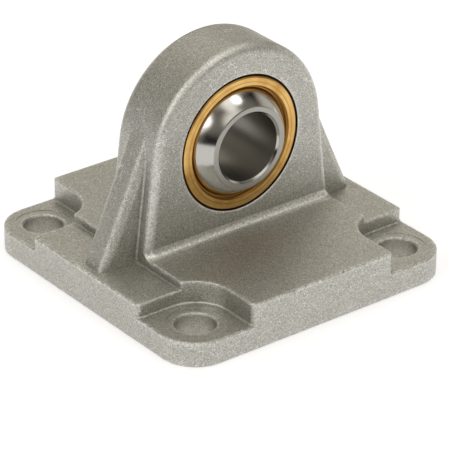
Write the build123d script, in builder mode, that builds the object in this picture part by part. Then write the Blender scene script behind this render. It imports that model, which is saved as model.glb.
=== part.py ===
from build123d import *
import os
from math import asin, atan2, cos, hypot, sin

# Spherical swivel mount for the end cover of a pneumatic cylinder with a 63 mm bore.
# A die-cast housing holds a spherical plain bearing in its eye: a brass outer ring pressed into
# the eye, a sliding liner bonded into the ring's race, and a steel inner ring, round outside,
# that tilts and turns in it. Millimetres. The origin is the middle of the underside, +Z points
# up and +Y runs along the bore.

# Bearing, from the pin outwards
pin_diameter = 16.0
inner_ring_width = 21.0
inner_ring_land = 1.69       # flat around the bore at each end; the ball is 28.575 across
inner_ring_bore_edge = 0.5
inner_ring_rim_edge = 0.15
running_clearance = 0.05     # between the ball and the liner
liner_thickness = 0.5
liner_inset = 1.0            # from the outer ring's face to the liner's edge
outer_ring_wall = 1.162      # thinnest, over the race; the ring is 32 across
outer_ring_mouth = 0.65      # chamfer beside the ball
outer_ring_edge = 0.4        # chamfer beside the housing, across
outer_ring_edge_depth = 0.8  # the same chamfer, along the bore

# Eye
axis_height = 32.0           # from the underside to the middle of the bore
eye_width = 15.0             # along the bore; the outer ring is flush with both faces
eye_wall = 7.0               # around the outer ring
eye_edge_round = 2.0
eye_foot_fillet = 1.8
seat_edge = 0.2              # chamfer of the bearing's seat

# Base
bolt_spacing = 56.5          # between the screw holes, both ways
bolt_hole_diameter = 9.0
bolt_hole_edge = 0.3
spot_face_width = 2.1        # of the shallow cut around each screw hole
spot_face_depth = 0.15
lug_radius = 8.9             # corners of the plate, concentric with the holes
lug_height = 6.0             # top of the corner lugs
pocket_radius = 8.75         # room for a screw head, concentric with the holes
strip_rise = 3.2             # over the lugs, of the strips beside the eye, which carry the gussets
strip_width = 11.45          # from the side of the plate to the platform
platform_rise = 2.0          # over the strips, of the platform before the eye and behind it
corner_depth = 0.8           # round of the pocket's upright corners, along the plate's side
corner_run = 1.3             # the same round, along the pocket's wall
inner_fillet = 0.5
top_edge_round = 0.35
base_edge = 0.4

# Gussets
gusset_width = 7.5
gusset_setback = 2.0         # from the side of the plate to the gusset's foot
gusset_edge_round = 2.0
gusset_sink = 0.2            # how far the top of its back sinks into the round of the eye

# Centring recess in the underside, for the collar of the cylinder's end cover
recess_diameter = 45.0
recess_depth = 4.5
recess_edge = 0.5

# Sizes that follow
pin_radius = pin_diameter / 2
ball_radius = hypot(inner_ring_width / 2, pin_radius + inner_ring_land)
liner_radius = ball_radius + running_clearance
race_radius = liner_radius + liner_thickness
seat_radius = race_radius + outer_ring_wall
eye_radius = seat_radius + eye_wall
bolt_hole_radius = bolt_hole_diameter / 2
recess_radius = recess_diameter / 2
hole_offset = bolt_spacing / 2
plate_half = hole_offset + lug_radius
strip_height = lug_height + strip_rise
platform_height = strip_height + platform_rise
pocket_offset = hole_offset - pocket_radius
platform_half = plate_half - strip_width
gusset_foot = plate_half - gusset_setback
past = 4 * plate_half        # reaches past every side of the part
tiny = 0.01                  # tells edges and faces apart

bore_axis = Axis((0, 0, axis_height), (0, 1, 0))
bore_plane = Plane(origin=(0, 0, axis_height), x_dir=(1, 0, 0), z_dir=(0, -1, 0))
half_section = Plane(origin=(0, 0, axis_height), x_dir=(0, 1, 0), z_dir=(1, 0, 0))


def arch(foot_x, foot_z, radius):
    """Outline of an arch: a round about the bore, with straight sides that touch it."""
    drop = axis_height - foot_z
    lean = atan2(foot_x, drop) - asin(radius / hypot(foot_x, drop))
    touch_x = radius * cos(lean)
    touch_z = axis_height + radius * sin(lean)
    Polyline((touch_x, touch_z), (foot_x, foot_z), (-foot_x, foot_z), (-touch_x, touch_z))
    ThreePointArc((-touch_x, touch_z), (0, axis_height + radius), (touch_x, touch_z))


def middle(edge):
    return edge.position_at(0.5)


def level_edges(part, height):
    """Edges that lie flat at one height."""
    return part.edges().filter_by(Plane.XY).filter_by_position(Axis.Z, height - tiny, height + tiny)


def circles(part, radius):
    """Circular edges of one radius."""
    return part.edges().filter_by(GeomType.CIRCLE).filter_by(lambda edge: abs(edge.radius - radius) < tiny)


def on_plate_outline(edge):
    x, y = abs(middle(edge).X), abs(middle(edge).Y)
    return max(x, y) > plate_half - tiny or min(x, y) > hole_offset


# Gussets: one rib through the eye, whose backs rise from the strips and run into its round
with BuildPart() as gussets:
    with BuildSketch(Plane.XZ) as gusset_outline:
        with BuildLine():
            arch(gusset_foot, strip_height, eye_radius - gusset_sink)
        make_face()
    extrude(amount=gusset_width / 2, both=True)
    backs = gussets.edges().filter_by(Plane.XZ).filter_by(lambda edge: middle(edge).Z > strip_height + tiny)
    fillet(backs, gusset_edge_round)

# Housing
with BuildPart() as housing:
    with BuildSketch() as plate_outline:
        RectangleRounded(2 * plate_half, 2 * plate_half, lug_radius)
    extrude(amount=lug_height)

    # Raised part of the plate, hollowed at each corner for a screw head
    with BuildSketch(Plane.XY.offset(lug_height)) as raised_outline:
        with BuildLine():
            side = Line((plate_half, 0), (plate_half, pocket_offset - corner_depth))
            side_wall = Line((plate_half - corner_run, pocket_offset), (hole_offset, pocket_offset))
            TangentArc(side_wall @ 0, side @ 1, tangent=(1, 0))
            hollow = RadiusArc(side_wall @ 1, (pocket_offset, hole_offset), pocket_radius)
            end_wall = Line(hollow @ 1, (pocket_offset, plate_half - corner_run))
            end = Line((pocket_offset - corner_depth, plate_half), (0, plate_half))
            TangentArc(end_wall @ 1, end @ 0, tangent=(0, 1))
            mirror(about=Plane.YZ)
            mirror(about=Plane.XZ)
        make_face()
    extrude(amount=platform_height - lug_height)

    # Eye, filleted to the platform all the way about
    with BuildSketch(Plane.XZ) as eye_outline:
        with BuildLine():
            arch(platform_half, platform_height, eye_radius)
        make_face()
    extrude(amount=eye_width / 2, both=True)
    eye_faces = housing.faces().filter_by(Axis.Y).filter_by_position(
        Axis.Y, -eye_width / 2 - tiny, eye_width / 2 + tiny
    )
    eye_rims = eye_faces.edges().filter_by(lambda edge: middle(edge).Z > platform_height + tiny)
    fillet(eye_rims, eye_edge_round)
    eye_foot = level_edges(housing, platform_height).filter_by(
        lambda edge: abs(middle(edge).X) < platform_half + tiny and abs(middle(edge).Y) < eye_width / 2 + tiny
    )
    fillet(eye_foot, eye_foot_fillet)

    # Strips, cut down beside the platform in line with the flanks of the eye
    with BuildSketch(Plane.XZ) as strip_trim:
        with Locations((0, strip_height)):
            Rectangle(
                past, platform_height + 2 * eye_foot_fillet - strip_height, align=(Align.CENTER, Align.MIN)
            )
            Rectangle(
                2 * platform_half, platform_height - strip_height, align=(Align.CENTER, Align.MIN),
                mode=Mode.SUBTRACT,
            )
        add(eye_outline.sketch_local, mode=Mode.SUBTRACT)
    extrude(amount=past, both=True, mode=Mode.SUBTRACT)

    # Fillets where the gussets, the platform and the pockets' walls rise
    add(gussets.part)
    gusset_feet = housing.edges(Select.NEW)
    platform_feet = level_edges(housing, strip_height).filter_by(
        lambda edge: abs(abs(middle(edge).X) - platform_half) < tiny
    )
    fillet(gusset_feet + platform_feet, inner_fillet)
    pocket_feet = level_edges(housing, lug_height).filter_by(lambda edge: not on_plate_outline(edge))
    fillet(pocket_feet, inner_fillet)

    # Small rounds along the top edges, and the edge of the underside
    platform_rims = level_edges(housing, platform_height).filter_by(
        lambda edge: abs(middle(edge).Y) > eye_width / 2 + eye_foot_fillet + tiny
    )
    strip_rims = level_edges(housing, strip_height).filter_by(
        lambda edge: on_plate_outline(edge) or abs(middle(edge).Y) > pocket_offset - corner_depth - tiny
    )
    lug_rims = level_edges(housing, lug_height).filter_by(on_plate_outline)
    fillet(platform_rims + strip_rims + lug_rims, top_edge_round)
    chamfer(level_edges(housing, 0), base_edge)

    # Screw holes, spot faced
    with Locations((0, 0, lug_height)):
        with GridLocations(bolt_spacing, bolt_spacing, 2, 2):
            CounterBoreHole(bolt_hole_radius, bolt_hole_radius + spot_face_width, spot_face_depth)
    chamfer(circles(housing, bolt_hole_radius), bolt_hole_edge)

    # Centring recess
    with BuildSketch() as recess_outline:
        Circle(recess_radius)
    extrude(amount=recess_depth, mode=Mode.SUBTRACT)
    recess_rim = circles(housing, recess_radius).filter_by_position(Axis.Z, -tiny, tiny)
    chamfer(recess_rim, recess_edge)

    # Seat of the bearing
    with Locations(bore_plane):
        Hole(seat_radius)
    chamfer(circles(housing, seat_radius), seat_edge)

# Outer ring, with its spherical race
with BuildPart() as bearing_outer_ring:
    with BuildSketch(half_section) as outer_ring_section:
        Rectangle(eye_width, seat_radius, align=(Align.CENTER, Align.MIN))
        Circle(race_radius, mode=Mode.SUBTRACT)
    revolve(axis=bore_axis)
    mouths = bearing_outer_ring.edges().filter_by(GeomType.CIRCLE).filter_by(
        lambda edge: edge.radius < race_radius
    )
    chamfer(mouths, outer_ring_mouth)
    chamfer(circles(bearing_outer_ring, seat_radius), outer_ring_edge_depth, outer_ring_edge)

# Liner, a spherical shell cut square at both edges
with BuildPart() as bearing_liner:
    with BuildSketch(half_section) as liner_section:
        Circle(race_radius)
        Circle(liner_radius, mode=Mode.SUBTRACT)
        Rectangle(
            eye_width - 2 * liner_inset, race_radius, align=(Align.CENTER, Align.MIN), mode=Mode.INTERSECT
        )
    revolve(axis=bore_axis)

# Inner ring, a ball cut off at its ends and bored for the pin
with BuildPart() as bearing_inner_ring:
    with BuildSketch(half_section) as inner_ring_section:
        Circle(ball_radius)
        Rectangle(inner_ring_width, ball_radius, align=(Align.CENTER, Align.MIN), mode=Mode.INTERSECT)
    revolve(axis=bore_axis)
    chamfer(circles(bearing_inner_ring, pin_radius + inner_ring_land), inner_ring_rim_edge)
    with Locations(bore_plane):
        Hole(pin_radius)
    chamfer(circles(bearing_inner_ring, pin_radius), inner_ring_bore_edge)

housing.part.label = "housing"
bearing_outer_ring.part.label = "bearing_outer_ring"
bearing_liner.part.label = "bearing_liner"
bearing_inner_ring.part.label = "bearing_inner_ring"

os.makedirs("parts", exist_ok=True)
export_step(housing.part, "parts/housing.step")
export_step(bearing_outer_ring.part, "parts/bearing_outer_ring.step")
export_step(bearing_liner.part, "parts/bearing_liner.step")
export_step(bearing_inner_ring.part, "parts/bearing_inner_ring.step")
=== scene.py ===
import bmesh
import bpy
from math import cos, radians, sin
from mathutils import Matrix, Quaternion, Vector

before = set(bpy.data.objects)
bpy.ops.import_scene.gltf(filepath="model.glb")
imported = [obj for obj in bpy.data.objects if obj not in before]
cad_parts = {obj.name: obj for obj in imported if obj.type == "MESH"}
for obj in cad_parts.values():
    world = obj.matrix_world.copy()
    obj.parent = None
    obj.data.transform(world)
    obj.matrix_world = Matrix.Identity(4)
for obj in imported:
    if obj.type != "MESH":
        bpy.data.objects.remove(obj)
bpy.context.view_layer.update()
mm = 0.001   # all sizes below are in millimetres
axisHeight = 32   # of the bearing's bore above the base


def direction(azimuth, elevation):   # unit vector, azimuth from -Y towards +X
    a, e = radians(azimuth), radians(elevation)
    return Vector((sin(a) * cos(e), -cos(a) * cos(e), sin(e)))


def linear(hexColour):   # a colour as it is seen on screen, to the linear values of a shader
    parts = [int(hexColour[i:i + 2], 16) / 255 for i in (1, 3, 5)]
    return tuple(p / 12.92 if p <= 0.04045 else ((p + 0.055) / 1.055) ** 2.4 for p in parts) + (1,)


def addNode(tree, kind, inputs=None, **properties):   # a value sets its socket, a socket is linked to it
    node = tree.nodes.new(kind)
    for name, value in properties.items():
        setattr(node, name, value)
    for name, value in (inputs or {}).items():
        if isinstance(value, bpy.types.NodeSocket):
            tree.links.new(value, node.inputs[name])
        else:
            node.inputs[name].default_value = value
    return node


def newMaterial(name):
    material = bpy.data.materials.new(name)
    material.use_nodes = True
    material.node_tree.nodes.clear()
    return material, material.node_tree


def aroundBore(tree, spots):   # distance from the bore's axis, and the place along it
    moved = addNode(tree, "ShaderNodeMapping", {"Vector": spots, "Location": (0, 0, -axisHeight * mm)})
    along = addNode(tree, "ShaderNodeSeparateXYZ", {"Vector": moved.outputs[0]})
    across = addNode(tree, "ShaderNodeVectorMath", {0: moved.outputs[0], 1: (1, 0, 1)}, operation="MULTIPLY")
    radius = addNode(tree, "ShaderNodeVectorMath", {0: across.outputs[0]}, operation="LENGTH")
    return radius.outputs["Value"], along.outputs["Y"]


def between(tree, value, low, high, soft):   # 1 from low to high, fading to 0 over the soft width
    rise = addNode(tree, "ShaderNodeMapRange", {"Value": value, "From Min": (low - soft) * mm,
                                                "From Max": low * mm})
    fall = addNode(tree, "ShaderNodeMapRange", {"Value": value, "From Min": high * mm,
                                                "From Max": (high + soft) * mm, "To Min": 1, "To Max": 0})
    both = addNode(tree, "ShaderNodeMath", {0: rise.outputs[0], 1: fall.outputs[0]}, operation="MULTIPLY")
    return both.outputs[0]


def layColours(tree, base, layers):   # each colour is laid over the ones before it, as far as its mask says
    skin = linear(base)
    for mask, colour in layers:
        skin = addNode(tree, "ShaderNodeMix", {"Factor": mask, 6: skin, 7: linear(colour)},
                       data_type="RGBA").outputs[2]
    return skin


def finishMetal(tree, skin, roughness, height, reach):   # a bare metal with its fine relief
    bump = addNode(tree, "ShaderNodeBump", {"Height": height, "Distance": reach * mm})
    metal = addNode(tree, "ShaderNodeBsdfPrincipled", {
        "Base Color": skin, "Metallic": 1, "Roughness": roughness, "Normal": bump.outputs["Normal"]})
    addNode(tree, "ShaderNodeOutputMaterial", {"Surface": metal.outputs[0]})


print("camera")
camera = {
    "place": (-372.622, -477.793, 330.554), "target": (1.652, 0, 8.015), "roll": 0.49,
    "lens": 245.15, "sensor": 36, "nearest": 10,
}
cameraData = bpy.data.cameras.new("camera")
cameraData.lens = camera["lens"]
cameraData.sensor_width = camera["sensor"]
cameraData.clip_start = camera["nearest"] * mm
cameraObject = bpy.data.objects.new("camera", cameraData)
bpy.context.scene.collection.objects.link(cameraObject)
place = Vector(camera["place"]) * mm
look = Vector(camera["target"]) * mm - place
turn = look.to_track_quat("-Z", "Y") @ Quaternion((0, 0, 1), radians(camera["roll"]))
cameraObject.matrix_world = Matrix.Translation(place) @ turn.to_matrix().to_4x4()
bpy.context.scene.camera = cameraObject
bpy.context.scene.view_settings.view_transform = "Standard"

print("floor")
paper = {
    "radius": 4000, "sides": 96, "below": 0.05, "colour": "#b6b7bb",
    "glow": 0.67, "glowColour": "#fffefc",   # it glows for the eye and in reflections alone, to look white
}
floorMesh = bpy.data.meshes.new("floor")
shape = bmesh.new()
bmesh.ops.create_circle(shape, cap_ends=True, segments=paper["sides"], radius=paper["radius"] * mm)
bmesh.ops.translate(shape, verts=shape.verts, vec=(0, 0, -paper["below"] * mm))
shape.to_mesh(floorMesh)
shape.free()
floor = bpy.data.objects.new("floor", floorMesh)
bpy.context.scene.collection.objects.link(floor)
whitePaper, tree = newMaterial("matt white paper")   # keeps the soft shadow, and looks white beyond it
seen = addNode(tree, "ShaderNodeLightPath")
direct = addNode(tree, "ShaderNodeMath", {0: seen.outputs["Is Camera Ray"],
                                          1: seen.outputs["Is Glossy Ray"]}, operation="MAXIMUM")
anyView = addNode(tree, "ShaderNodeMath", {0: direct.outputs[0],
                                           1: seen.outputs["Is Transmission Ray"]}, operation="MAXIMUM")
glow = addNode(tree, "ShaderNodeMath", {0: anyView.outputs[0], 1: paper["glow"]}, operation="MULTIPLY")
surface = addNode(tree, "ShaderNodeBsdfDiffuse", {"Color": linear(paper["colour"])})
light = addNode(tree, "ShaderNodeEmission", {"Color": linear(paper["glowColour"]),
                                             "Strength": glow.outputs[0]})
both = addNode(tree, "ShaderNodeAddShader", {0: surface.outputs[0], 1: light.outputs[0]})
addNode(tree, "ShaderNodeOutputMaterial", {"Surface": both.outputs[0]})
floorMesh.materials.append(whitePaper)

print("room")
room = {
    "dim": "#fff8e9", "dimTo": 0.4, "strong": "#fdfdfb", "strongFrom": 2.2,   # colours and their levels
    "zones": [   # soft bright areas of the room: azimuth, elevation, half width in degrees, level
        (0, 90, 35, 0.68), (135, 62, 35, 1.06), (10, 70, 18, 1.1),
        (-90, 38, 30, 2.5), (-140, 29, 21, 0.42), (-45, 38, 30, 0.24), (0, 38, 30, 1.36),
        (45, 38, 30, 0.25), (135, 38, 30, 0.4), (180, 38, 30, 0.25),
        (-90, 12, 28, 0.3), (45, 12, 28, 0.25), (90, 12, 28, 0.76), (135, 12, 28, 0.33), (180, 12, 28, 0.93),
    ],
}
world = bpy.data.worlds.new("grey room")
world.use_nodes = True
tree = world.node_tree
towards = addNode(tree, "ShaderNodeTexCoord").outputs["Generated"]
level = 0
for azimuth, elevation, halfWidth, brightness in room["zones"]:
    facing = addNode(tree, "ShaderNodeVectorMath", {0: towards, 1: tuple(direction(azimuth, elevation))},
                     operation="DOT_PRODUCT")
    zone = addNode(tree, "ShaderNodeMapRange", {"Value": facing.outputs["Value"], "To Max": brightness,
                                                "From Min": cos(radians(halfWidth))},
                   interpolation_type="SMOOTHSTEP")
    level = addNode(tree, "ShaderNodeMath", {0: level, 1: zone.outputs[0]}, operation="ADD").outputs[0]
strong = addNode(tree, "ShaderNodeMapRange", {"Value": level, "From Min": room["dimTo"],
                                              "From Max": room["strongFrom"]})
tint = layColours(tree, room["dim"], [(strong.outputs[0], room["strong"])])
tinted = addNode(tree, "ShaderNodeVectorMath", {0: tint, "Scale": level}, operation="SCALE")
tree.links.new(tinted.outputs[0], tree.nodes["Background"].inputs["Color"])
bpy.context.scene.world = world

print("lamps")
lamps = {   # the two round highlights on the ball, turned to a place at the target's height
    "softLamp1": {"azimuth": 49, "elevation": 65, "distance": 900, "target": 30,
                  "size": 270, "watts": 0.5},
    "softLamp2": {"azimuth": -69, "elevation": 39, "distance": 900, "target": 30,
                  "size": 310, "watts": 0.32},
}
for name, values in lamps.items():
    lamp = bpy.data.lights.new(name, "AREA")
    lamp.shape = "ELLIPSE"
    lamp.size = lamp.size_y = values["size"] * mm
    lamp.energy = values["watts"]
    lampObject = bpy.data.objects.new(name, lamp)
    bpy.context.scene.collection.objects.link(lampObject)
    away = direction(values["azimuth"], values["elevation"])
    spot = Vector((0, 0, values["target"] * mm)) + away * values["distance"] * mm
    lampObject.matrix_world = Matrix.Translation(spot) @ away.to_track_quat("Z", "Y").to_matrix().to_4x4()

print("cast housing")
casting = {
    "colour": "#b4b2a9", "dark": "#a3a198", "mottle": 5, "mottleRough": 0.55,
    "drilled": "#a9a599", "holeOffset": 28.25,
    "bright": "#faf9f5", "shade": "#5f5c56", "hollow": "#5c5851", "gapShade": "#3d2a1a",
    "roughness": 0.4, "rubbed": 0.28,
    # the blasted grain is about 0.05 mm and too fine to show, so its bumps and specks are drawn coarser
    "grain": 0.12, "grainRough": 0.65, "grainHeight": 0.056, "speck": 0.12, "flake": 0.3, "rarity": 3,
    "glint": 0.82, "calm": 0.6, "pit": 0.78, "sparkle": 0.6, "sparkleReach": 3, "sparkleFrom": 0.5,
    "sparkleTo": 0.78,
    # nicks and rubbed edges with a painted highlight, and the painted shade of dents
    "nick": 0.8, "nickRough": 0.7, "nickHeight": 0.3, "edge": 0.8, "rubFrom": -0.32, "rubTo": -0.14,
    "spotShare": 0.75, "rimShare": 0.5, "wornAndSheenFrom": 0.1, "dent": 0.85, "dentFrom": 1.08, "dentTo": 1.0,
    # painted shade in inner corners
    "hollowReach": 1.5, "hollowShare": 0.65, "hollowFrom": 0.5, "hollowTo": 0.76, "pocketShare": 0.4,
    # hairline scratches
    "scratchCell": 8, "scratchWidth": 0.035, "scratchFrom": 0.56, "scratchFade": 0.04, "scratchShare": 0.7,
    # where each of these lies: from, to and the soft width beyond
    "holeAt": (0, 4.55, 0.1), "spotFaceAt": (5.4, 7.2, 0.2), "pocketAt": (4.7, 11, 1),   # from a hole's axis
    "gapAt": (15.6, 16.06, 0.02), "lipAt": (16.06, 16.24, 0.05), "rimAt": (20.8, 40, 0.5),   # from the bore
    "footDepth": (7.3, 8.4, 0.2), "footHeight": (11.7, 13.1, 0.2),   # painted highlight on the fillet at the foot of the eye
    "rimDepth": (6.5, 7.1, 0.4), "rimHeight": (14, 60, 1),   # painted highlight on the rounded rim of the eye
    "sparedFromShade": [((0, 5.5, 0.4), (8.5, 10.2, 0.4)), ((7.2, 9.8, 0.4), (11, 13.8, 0.4))],   # places spared from the painted shade, along Y and Z
    "dentAt": (36.5, 40, 0.3), "scratchHeight": (30, 60, 4),
}
castAluminium, tree = newMaterial("blasted die-cast aluminium")   # matt warm grey with a sparkling grain
spots = addNode(tree, "ShaderNodeTexCoord").outputs["Object"]
axes = addNode(tree, "ShaderNodeSeparateXYZ", {"Vector": spots})
depth = addNode(tree, "ShaderNodeMath", {0: axes.outputs["Y"]}, operation="ABSOLUTE").outputs[0]
radius = aroundBore(tree, spots)[0]
grain = addNode(tree, "ShaderNodeTexNoise", {"Vector": spots, "Scale": 1 / (casting["grain"] * mm),
                                             "Detail": 3, "Roughness": casting["grainRough"]})
mottle = addNode(tree, "ShaderNodeTexNoise", {"Vector": spots, "Scale": 1 / (casting["mottle"] * mm),
                                              "Detail": 3, "Roughness": casting["mottleRough"]})
nick = addNode(tree, "ShaderNodeTexNoise", {"Vector": spots, "Scale": 1 / (casting["nick"] * mm),
                                            "Detail": 3, "Roughness": casting["nickRough"]}).outputs["Fac"]
speck = addNode(tree, "ShaderNodeTexVoronoi", {"Vector": spots, "Scale": 1 / (casting["speck"] * mm)})
speck = addNode(tree, "ShaderNodeSeparateColor", {"Color": speck.outputs["Color"]})
flake = addNode(tree, "ShaderNodeTexVoronoi", {"Vector": spots, "Scale": 1 / (casting["flake"] * mm)})
flake = addNode(tree, "ShaderNodeSeparateColor", {"Color": flake.outputs["Color"]})
# the screw holes are drilled and browner inside
corner = addNode(tree, "ShaderNodeVectorMath", {0: spots}, operation="ABSOLUTE")
hole = [casting["holeOffset"] * mm] * 2 + [0]
corner = addNode(tree, "ShaderNodeVectorMath", {0: corner.outputs[0], 1: hole}, operation="SUBTRACT")
corner = addNode(tree, "ShaderNodeVectorMath", {0: corner.outputs[0], 1: (1, 1, 0)}, operation="MULTIPLY")
corner = addNode(tree, "ShaderNodeVectorMath", {0: corner.outputs[0]}, operation="LENGTH").outputs["Value"]
drilled = between(tree, corner, *casting["holeAt"])
# dark pits in the grain, and painted glints, with more of them painted on the rounded rims
inFoot = addNode(tree, "ShaderNodeMath", {0: between(tree, depth, *casting["footDepth"]),
                                          1: between(tree, axes.outputs["Z"], *casting["footHeight"])},
                 operation="MULTIPLY").outputs[0]
rounds = addNode(tree, "ShaderNodeAmbientOcclusion", {"Distance": casting["sparkleReach"] * mm}, inside=True,
                 samples=4)
rounds = addNode(tree, "ShaderNodeMath", {0: rounds.outputs["AO"], 1: drilled}, operation="MAXIMUM")
rounds = addNode(tree, "ShaderNodeMath", {0: rounds.outputs[0], 1: inFoot}, operation="SUBTRACT")
sparkle = addNode(tree, "ShaderNodeMapRange", {
    "Value": rounds.outputs[0], "From Min": casting["sparkleFrom"], "From Max": casting["sparkleTo"],
    "To Min": casting["sparkle"], "To Max": 0})
pit = addNode(tree, "ShaderNodeMath", {0: speck.outputs["Green"], 1: casting["rarity"]}, operation="POWER")
pit = addNode(tree, "ShaderNodeMath", {0: pit.outputs[0], 1: casting["pit"]}, operation="MULTIPLY")
calm = addNode(tree, "ShaderNodeMapRange", {"Value": drilled, "To Min": 1, "To Max": casting["calm"]})
glint = addNode(tree, "ShaderNodeMath", {0: speck.outputs["Red"], 1: casting["rarity"]}, operation="POWER")
glint = addNode(tree, "ShaderNodeMath", {0: glint.outputs[0], 1: calm.outputs[0]}, operation="MULTIPLY")
bright = addNode(tree, "ShaderNodeMath", {0: flake.outputs["Red"], 1: casting["rarity"]}, operation="POWER")
bright = addNode(tree, "ShaderNodeMath", {0: bright.outputs[0], 1: sparkle.outputs[0]}, operation="MULTIPLY")
glint = addNode(tree, "ShaderNodeMath", {0: glint.outputs[0], 1: casting["glint"], 2: bright.outputs[0]},
                operation="MULTIPLY_ADD", use_clamp=True).outputs[0]
# outer edges are rubbed bright in nicks and carry a painted highlight, less so round the spot faces
edges = addNode(tree, "ShaderNodeAmbientOcclusion", {"Distance": casting["edge"] * mm}, inside=True,
                samples=6).outputs["AO"]
rubAndEdgeSheen = addNode(tree, "ShaderNodeMath", {0: nick, 1: edges}, operation="SUBTRACT")
rubAndEdgeSheen = addNode(tree, "ShaderNodeMapRange", {"Value": rubAndEdgeSheen.outputs[0], "From Min": casting["rubFrom"],
                                           "From Max": casting["rubTo"]})
rubAndEdgeSheen = addNode(tree, "ShaderNodeMath", {
    0: between(tree, corner, *casting["spotFaceAt"]), 1: -casting["spotShare"], 2: rubAndEdgeSheen.outputs[0],
}, operation="MULTIPLY_ADD", use_clamp=True).outputs[0]
# painted highlights, broken into flakes, on the rim of the eye and the fillet at its foot
rim = addNode(tree, "ShaderNodeMath", {0: between(tree, depth, *casting["rimDepth"]),
                                       1: between(tree, axes.outputs["Z"], *casting["rimHeight"])},
              operation="MULTIPLY")
rim = addNode(tree, "ShaderNodeMath", {0: rim.outputs[0], 1: between(tree, radius, *casting["rimAt"])},
              operation="MULTIPLY")
rim = addNode(tree, "ShaderNodeMath", {0: rim.outputs[0], 1: casting["rimShare"]}, operation="MULTIPLY")
light = addNode(tree, "ShaderNodeMath", {0: inFoot, 1: rim.outputs[0]}, operation="MAXIMUM")
wornAndSheen = addNode(tree, "ShaderNodeMapRange", {"Value": flake.outputs["Green"], "To Min": casting["wornAndSheenFrom"]})
light = addNode(tree, "ShaderNodeMath", {0: light.outputs[0], 1: wornAndSheen.outputs[0]}, operation="MULTIPLY")
light = addNode(tree, "ShaderNodeMath", {0: light.outputs[0], 1: rubAndEdgeSheen}, operation="MAXIMUM").outputs[0]
# painted shade in inner corners: little in the pockets, none at the gussets' feet or in the fillet of the
# eye
hollow = addNode(tree, "ShaderNodeAmbientOcclusion", {"Distance": casting["hollowReach"] * mm}, samples=6)
sparedFromShade = addNode(tree, "ShaderNodeMath", {0: between(tree, corner, *casting["pocketAt"]),
                                         1: casting["pocketShare"]}, operation="MULTIPLY")
sparedFromShade = addNode(tree, "ShaderNodeMath", {0: sparedFromShade.outputs[0], 1: light}, operation="MAXIMUM")
for y, z in casting["sparedFromShade"]:
    plain = addNode(tree, "ShaderNodeMath", {0: between(tree, depth, *y),
                                             1: between(tree, axes.outputs["Z"], *z)}, operation="MULTIPLY")
    sparedFromShade = addNode(tree, "ShaderNodeMath", {0: sparedFromShade.outputs[0], 1: plain.outputs[0]}, operation="MAXIMUM")
shadowed = addNode(tree, "ShaderNodeMapRange", {
    "Value": hollow.outputs["AO"], "From Min": casting["hollowFrom"], "From Max": casting["hollowTo"],
    "To Min": casting["hollowShare"], "To Max": 0})
shadowed = addNode(tree, "ShaderNodeMath", {0: shadowed.outputs[0], 1: sparedFromShade.outputs[0]},
                   operation="SUBTRACT", use_clamp=True).outputs[0]
# painted shade of small dents between the rubbed places of the outermost edges
dentShade = addNode(tree, "ShaderNodeMath", {0: nick, 1: edges}, operation="ADD")
dentShade = addNode(tree, "ShaderNodeMapRange", {"Value": dentShade.outputs[0], "From Min": casting["dentFrom"],
                                             "From Max": casting["dentTo"], "To Max": casting["dent"]})
sides = addNode(tree, "ShaderNodeMath", {0: axes.outputs["X"]}, operation="ABSOLUTE")
sides = addNode(tree, "ShaderNodeMath", {0: sides.outputs[0], 1: depth}, operation="MAXIMUM")
dentShade = addNode(tree, "ShaderNodeMath", {0: dentShade.outputs[0],
                                         1: between(tree, sides.outputs[0], *casting["dentAt"])},
                operation="MULTIPLY").outputs[0]
# a few hairline scratches on the eye: short runs of bent cell edges
bent = addNode(tree, "ShaderNodeVectorMath", {0: mottle.outputs["Color"], 1: [casting["mottle"] * mm] * 3,
                                              2: spots}, operation="MULTIPLY_ADD")
cuts = addNode(tree, "ShaderNodeTexVoronoi", {"Vector": bent.outputs[0],
                                              "Scale": 1 / (casting["scratchCell"] * mm)},
               feature="DISTANCE_TO_EDGE")
width = casting["scratchWidth"] / casting["scratchCell"]
cuts = addNode(tree, "ShaderNodeMapRange", {"Value": cuts.outputs["Distance"], "From Min": width,
                                            "From Max": 2 * width, "To Min": 1, "To Max": 0})
runs = addNode(tree, "ShaderNodeMapRange", {
    "Value": mottle.outputs["Fac"], "From Min": casting["scratchFrom"],
    "From Max": casting["scratchFrom"] + casting["scratchFade"]})
scratch = addNode(tree, "ShaderNodeMath", {0: cuts.outputs[0], 1: runs.outputs[0]}, operation="MULTIPLY")
scratch = addNode(tree, "ShaderNodeMath", {0: scratch.outputs[0],
                                           1: between(tree, axes.outputs["Z"], *casting["scratchHeight"])},
                  operation="MULTIPLY")
scratch = addNode(tree, "ShaderNodeMath", {0: scratch.outputs[0], 1: casting["scratchShare"]},
                  operation="MULTIPLY").outputs[0]
# painted shade in the gap that the bearing sits in, and a painted highlight on the thin turned lip around it
lipHighlight = between(tree, radius, *casting["lipAt"])
gapShade = between(tree, radius, *casting["gapAt"])
skin = layColours(tree, casting["dark"], [
    (mottle.outputs["Fac"], casting["colour"]), (drilled, casting["drilled"]),
    (pit.outputs[0], casting["shade"]), (glint, casting["bright"]),
    (shadowed, casting["hollow"]), (light, casting["bright"]), (dentShade, casting["shade"]),
    (scratch, casting["bright"]), (lipHighlight, casting["bright"]), (gapShade, casting["gapShade"]),
])
height = addNode(tree, "ShaderNodeMath", {0: nick, 1: rubAndEdgeSheen}, operation="MULTIPLY")
height = addNode(tree, "ShaderNodeMath", {
    0: height.outputs[0], 1: -casting["nickHeight"] / casting["grainHeight"], 2: grain.outputs["Fac"],
}, operation="MULTIPLY_ADD")
polish = addNode(tree, "ShaderNodeMapRange", {"Value": light, "To Min": casting["roughness"],
                                              "To Max": casting["rubbed"]})
finishMetal(tree, skin, polish.outputs[0], height.outputs[0], casting["grainHeight"])

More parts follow.
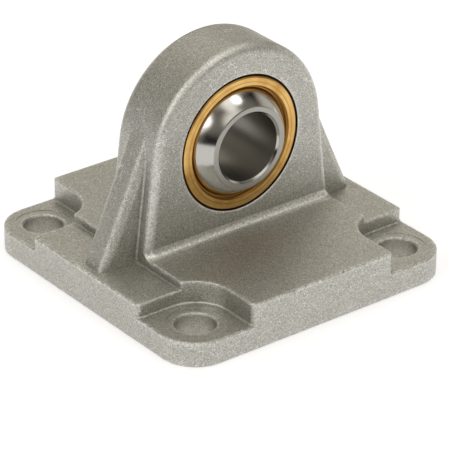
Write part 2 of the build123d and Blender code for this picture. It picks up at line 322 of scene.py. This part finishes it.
print("brass ring")
brass = {
    "colour": "#e6bd76", "wornAndSheen": "#c0924c", "wornAndSheenFrom": 0.1, "wornTo": 0.36, "cloud": 3, "roughness": 0.28,
    "lines": 0.16, "lineHeight": 0.006,   # lathe lines are finer than this, which is the least that shows
    "groove": "#80592a", "gapShade": "#3d2713", "chamfer": "#b98a45",
    # from, to and the soft width beyond, from the axis
    "grooveAt": (14.25, 14.25, 0.1), "gapAt": (15.55, 20, 0.06), "chamferAt": (10, 13.4, 0.15),
}
turnedBrass, tree = newMaterial("turned brass")   # golden, with the fine rings that the lathe leaves
spots = addNode(tree, "ShaderNodeTexCoord").outputs["Object"]
radius = aroundBore(tree, spots)[0]
lines = addNode(tree, "ShaderNodeTexNoise", {"W": radius, "Scale": 1 / (brass["lines"] * mm), "Detail": 2},
                noise_dimensions="1D").outputs["Fac"]
cloud = addNode(tree, "ShaderNodeTexNoise", {"Vector": spots, "Scale": 1 / (brass["cloud"] * mm),
                                             "Detail": 2})
tint = addNode(tree, "ShaderNodeMath", {0: lines, 1: cloud.outputs["Fac"]}, operation="MULTIPLY")
tint = addNode(tree, "ShaderNodeMapRange", {"Value": tint.outputs[0], "From Min": brass["wornAndSheenFrom"],
                                            "From Max": brass["wornTo"]})
# the gap colour is painted shade at the ring's outer edge, in the gap around it
skin = layColours(tree, brass["wornAndSheen"], [
    (tint.outputs[0], brass["colour"]), (between(tree, radius, *brass["grooveAt"]), brass["groove"]),
    (between(tree, radius, *brass["chamferAt"]), brass["chamfer"]),
    (between(tree, radius, *brass["gapAt"]), brass["gapShade"]),
])
finishMetal(tree, skin, brass["roughness"], lines, brass["lineHeight"])

print("liner")
liner = {
    "colour": "#c9974c", "dark": "#a3743a", "roughness": 0.4, "metallic": 0.7,
    "weave": 0.3,   # the fabric in the film is finer, and is drawn as coarse as it needs to show
}
slidingLayer, tree = newMaterial("bonded sliding layer")   # a brown film with a dull golden shine
spots = addNode(tree, "ShaderNodeTexCoord").outputs["Object"]
weave = addNode(tree, "ShaderNodeTexNoise", {"Vector": spots, "Scale": 1 / (liner["weave"] * mm),
                                             "Detail": 2})
skin = layColours(tree, liner["dark"], [(weave.outputs["Fac"], liner["colour"])])
film = addNode(tree, "ShaderNodeBsdfPrincipled", {"Base Color": skin, "Metallic": liner["metallic"],
                                                  "Roughness": liner["roughness"]})
addNode(tree, "ShaderNodeOutputMaterial", {"Surface": film.outputs[0]})

print("ball")
ball = {
    "colour": "#bab8b4", "polish": 0.16,
    "face": "#a3a19b", "satin": 0.3, "faceDepth": 10.4,
    "bore": "#8c8881", "boreSatin": 0.38, "boreRadius": 8.04,
    # grinding lines are finer than this, which is the least that shows
    "lines": 0.16, "lineHeight": 0.002, "boreLineHeight": 0.012,
}
polishedSteel, tree = newMaterial("polished bearing steel")   # a mirror, with satin ends and a ground bore
spots = addNode(tree, "ShaderNodeTexCoord").outputs["Object"]
radius, along = aroundBore(tree, spots)
depth = addNode(tree, "ShaderNodeMath", {0: along}, operation="ABSOLUTE")
onFace = addNode(tree, "ShaderNodeMath", {0: depth.outputs[0], 1: ball["faceDepth"] * mm},
                 operation="GREATER_THAN").outputs[0]
inBore = addNode(tree, "ShaderNodeMath", {0: radius, 1: ball["boreRadius"] * mm},
                 operation="LESS_THAN").outputs[0]
ground = addNode(tree, "ShaderNodeMath", {0: onFace, 1: inBore}, operation="MAXIMUM")
path = addNode(tree, "ShaderNodeMath", {0: radius, 1: along}, operation="ADD")
lines = addNode(tree, "ShaderNodeTexNoise", {"W": path.outputs[0], "Scale": 1 / (ball["lines"] * mm),
                                             "Detail": 2}, noise_dimensions="1D")
height = addNode(tree, "ShaderNodeMath", {0: onFace, 1: ball["lineHeight"]}, operation="MULTIPLY")
height = addNode(tree, "ShaderNodeMath", {0: inBore, 1: ball["boreLineHeight"], 2: height.outputs[0]},
                 operation="MULTIPLY_ADD")
height = addNode(tree, "ShaderNodeMath", {0: height.outputs[0], 1: lines.outputs["Fac"]},
                 operation="MULTIPLY")
skin = layColours(tree, ball["colour"], [(onFace, ball["face"]), (inBore, ball["bore"])])
polish = addNode(tree, "ShaderNodeMapRange", {"Value": ground.outputs[0], "To Min": ball["polish"],
                                              "To Max": ball["satin"]})
polish = addNode(tree, "ShaderNodeMath", {0: inBore, 1: ball["boreSatin"] - ball["satin"],
                                          2: polish.outputs[0]}, operation="MULTIPLY_ADD")
finishMetal(tree, skin, polish.outputs[0], height.outputs[0], 1)   # the heights are in millimetres already

finishes = {
    "housing": castAluminium, "bearing_outer_ring": turnedBrass, "bearing_liner": slidingLayer,
    "bearing_inner_ring": polishedSteel,
}
for node, material in finishes.items():
    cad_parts[node].material_slots[0].material = material
